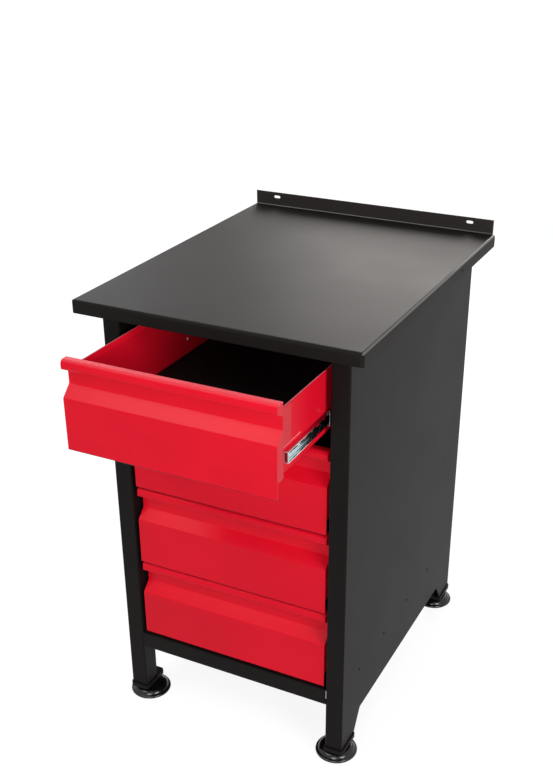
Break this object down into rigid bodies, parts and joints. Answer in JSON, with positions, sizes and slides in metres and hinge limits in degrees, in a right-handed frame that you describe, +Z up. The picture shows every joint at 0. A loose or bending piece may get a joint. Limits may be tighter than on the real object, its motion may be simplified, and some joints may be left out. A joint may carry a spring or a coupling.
{
  "type": "drawer cabinet",
  "caption": "Steel workshop drawer cabinet on levelling feet: pan worktop with slotted rear upstand, red drawers with folded grip lips on ball slides, top drawer part open.",
  "frame": {"origin": "middle of the floor area under the part as it stands, with its top drawer part open", "axes": "+Z up, -Y out of the drawer fronts, +X to the right of someone facing them"},
  "size_m": [0.56, 0.846, 0.93],
  "materials": {
    "stand_black": "matt black powder coat",
    "worktop_black": "fine matt black powder coat",
    "drawer_red": "gloss red paint",
    "zinc": "bright zinc plate",
    "cage_steel": "plain steel",
    "board": "raw particle board",
    "mat_black": "matt black ribbed mat",
    "foot_plastic": "glossy black nylon"
  },
  "bodies": {
    "cabinet": {"side_frame_left": "stand_black", "side_frame_right": "stand_black", "back_panel": "stand_black", "base_tray": "stand_black", "top_rail_front": "stand_black", "top_rail_rear": "stand_black", "worktop_pan": "worktop_black", "worktop_board": "board", "foot_plates": "stand_black", "foot_nuts": "zinc", "stand_rivets": "stand_black", "back_rivets": "stand_black", "worktop_screws": "zinc", "cabinet_slides_1": "zinc", "cabinet_slides_2": "zinc", "cabinet_slides_3": "zinc", "cabinet_slides_4": "zinc", "slide_rivets": "zinc"},
    "drawer_1": {"drawer_front_1": "drawer_red", "drawer_box_1": "drawer_red", "drawer_ends_1": "drawer_red", "drawer_mat_1": "mat_black", "drawer_slides_1": "zinc", "drawer_rivets_1": "zinc"},
    "middle_slides_1": {"middle_slides_1": "zinc"},
    "outer_cages_1": {"outer_cages_1": "cage_steel"},
    "inner_cages_1": {"inner_cages_1": "cage_steel"},
    "drawer_2": {"drawer_front_2": "drawer_red", "drawer_box_2": "drawer_red", "drawer_ends_2": "drawer_red", "drawer_mat_2": "mat_black", "drawer_slides_2": "zinc", "drawer_rivets_2": "zinc"},
    "middle_slides_2": {"middle_slides_2": "zinc"},
    "outer_cages_2": {"outer_cages_2": "cage_steel"},
    "inner_cages_2": {"inner_cages_2": "cage_steel"},
    "drawer_3": {"drawer_front_3": "drawer_red", "drawer_box_3": "drawer_red", "drawer_ends_3": "drawer_red", "drawer_mat_3": "mat_black", "drawer_slides_3": "zinc", "drawer_rivets_3": "zinc"},
    "middle_slides_3": {"middle_slides_3": "zinc"},
    "outer_cages_3": {"outer_cages_3": "cage_steel"},
    "inner_cages_3": {"inner_cages_3": "cage_steel"},
    "drawer_4": {"drawer_front_4": "drawer_red", "drawer_box_4": "drawer_red", "drawer_ends_4": "drawer_red", "drawer_mat_4": "mat_black", "drawer_slides_4": "zinc", "drawer_rivets_4": "zinc"},
    "middle_slides_4": {"middle_slides_4": "zinc"},
    "outer_cages_4": {"outer_cages_4": "cage_steel"},
    "inner_cages_4": {"inner_cages_4": "cage_steel"},
    "foot_pad_1": {"foot_pad_1": "foot_plastic"},
    "foot_stud_1": {"foot_stud_1": "zinc"},
    "foot_pad_2": {"foot_pad_2": "foot_plastic"},
    "foot_stud_2": {"foot_stud_2": "zinc"},
    "foot_pad_3": {"foot_pad_3": "foot_plastic"},
    "foot_stud_3": {"foot_stud_3": "zinc"},
    "foot_pad_4": {"foot_pad_4": "foot_plastic"},
    "foot_stud_4": {"foot_stud_4": "zinc"}
  },
  "joints": [
    {"name": "drawer_1_slide", "type": "slide", "parent": "cabinet", "child": "drawer_1", "axis": [0, -1, 0], "range_m": [-0.19, 0.41]},
    {"name": "middle_1_slide", "type": "slide", "parent": "cabinet", "child": "middle_slides_1", "axis": [0, -1, 0], "range_m": [-0.095, 0.205]},
    {"name": "outer_cage_1_slide", "type": "slide", "parent": "cabinet", "child": "outer_cages_1", "axis": [0, -1, 0], "range_m": [-0.0475, 0.1025]},
    {"name": "inner_cage_1_slide", "type": "slide", "parent": "cabinet", "child": "inner_cages_1", "axis": [0, -1, 0], "range_m": [-0.1425, 0.3075]},
    {"name": "drawer_2_slide", "type": "slide", "parent": "cabinet", "child": "drawer_2", "axis": [0, -1, 0], "range_m": [0, 0.6]},
    {"name": "middle_2_slide", "type": "slide", "parent": "cabinet", "child": "middle_slides_2", "axis": [0, -1, 0], "range_m": [0, 0.3]},
    {"name": "outer_cage_2_slide", "type": "slide", "parent": "cabinet", "child": "outer_cages_2", "axis": [0, -1, 0], "range_m": [0, 0.15]},
    {"name": "inner_cage_2_slide", "type": "slide", "parent": "cabinet", "child": "inner_cages_2", "axis": [0, -1, 0], "range_m": [0, 0.45]},
    {"name": "drawer_3_slide", "type": "slide", "parent": "cabinet", "child": "drawer_3", "axis": [0, -1, 0], "range_m": [0, 0.6]},
    {"name": "middle_3_slide", "type": "slide", "parent": "cabinet", "child": "middle_slides_3", "axis": [0, -1, 0], "range_m": [0, 0.3]},
    {"name": "outer_cage_3_slide", "type": "slide", "parent": "cabinet", "child": "outer_cages_3", "axis": [0, -1, 0], "range_m": [0, 0.15]},
    {"name": "inner_cage_3_slide", "type": "slide", "parent": "cabinet", "child": "inner_cages_3", "axis": [0, -1, 0], "range_m": [0, 0.45]},
    {"name": "drawer_4_slide", "type": "slide", "parent": "cabinet", "child": "drawer_4", "axis": [0, -1, 0], "range_m": [0, 0.6]},
    {"name": "middle_4_slide", "type": "slide", "parent": "cabinet", "child": "middle_slides_4", "axis": [0, -1, 0], "range_m": [0, 0.3]},
    {"name": "outer_cage_4_slide", "type": "slide", "parent": "cabinet", "child": "outer_cages_4", "axis": [0, -1, 0], "range_m": [0, 0.15]},
    {"name": "inner_cage_4_slide", "type": "slide", "parent": "cabinet", "child": "inner_cages_4", "axis": [0, -1, 0], "range_m": [0, 0.45]},
    {"name": "foot_1_height", "type": "slide", "parent": "cabinet", "child": "foot_pad_1", "axis": [0, 0, -1], "range_m": [-0.002, 0.025]},
    {"name": "foot_1_turn", "type": "hinge", "parent": "foot_pad_1", "child": "foot_stud_1", "pos_m": [-0.219, -0.2065, 0.03], "axis": [0, 0, -1], "range_deg": [-481, 6001]},
    {"name": "foot_2_height", "type": "slide", "parent": "cabinet", "child": "foot_pad_2", "axis": [0, 0, -1], "range_m": [-0.002, 0.025]},
    {"name": "foot_2_turn", "type": "hinge", "parent": "foot_pad_2", "child": "foot_stud_2", "pos_m": [0.219, -0.2065, 0.03], "axis": [0, 0, -1], "range_deg": [-481, 6001]},
    {"name": "foot_3_height", "type": "slide", "parent": "cabinet", "child": "foot_pad_3", "axis": [0, 0, -1], "range_m": [-0.002, 0.025]},
    {"name": "foot_3_turn", "type": "hinge", "parent": "foot_pad_3", "child": "foot_stud_3", "pos_m": [-0.219, 0.369, 0.03], "axis": [0, 0, -1], "range_deg": [-481, 6001]},
    {"name": "foot_4_height", "type": "slide", "parent": "cabinet", "child": "foot_pad_4", "axis": [0, 0, -1], "range_m": [-0.002, 0.025]},
    {"name": "foot_4_turn", "type": "hinge", "parent": "foot_pad_4", "child": "foot_stud_4", "pos_m": [0.219, 0.369, 0.03], "axis": [0, 0, -1], "range_deg": [-481, 6001]}
  ],
  "couplings": [
    {"joint": "middle_1_slide", "follows": "drawer_1_slide", "ratio": 0.5},
    {"joint": "outer_cage_1_slide", "follows": "drawer_1_slide", "ratio": 0.25},
    {"joint": "inner_cage_1_slide", "follows": "drawer_1_slide", "ratio": 0.75},
    {"joint": "middle_2_slide", "follows": "drawer_2_slide", "ratio": 0.5},
    {"joint": "outer_cage_2_slide", "follows": "drawer_2_slide", "ratio": 0.25},
    {"joint": "inner_cage_2_slide", "follows": "drawer_2_slide", "ratio": 0.75},
    {"joint": "middle_3_slide", "follows": "drawer_3_slide", "ratio": 0.5},
    {"joint": "outer_cage_3_slide", "follows": "drawer_3_slide", "ratio": 0.25},
    {"joint": "inner_cage_3_slide", "follows": "drawer_3_slide", "ratio": 0.75},
    {"joint": "middle_4_slide", "follows": "drawer_4_slide", "ratio": 0.5},
    {"joint": "outer_cage_4_slide", "follows": "drawer_4_slide", "ratio": 0.25},
    {"joint": "inner_cage_4_slide", "follows": "drawer_4_slide", "ratio": 0.75},
    {"joint": "foot_1_turn", "follows": "foot_1_height", "rad_per_m": 4188.8},
    {"joint": "foot_2_turn", "follows": "foot_2_height", "rad_per_m": 4188.8},
    {"joint": "foot_3_turn", "follows": "foot_3_height", "rad_per_m": 4188.8},
    {"joint": "foot_4_turn", "follows": "foot_4_height", "rad_per_m": 4188.8}
  ]
}
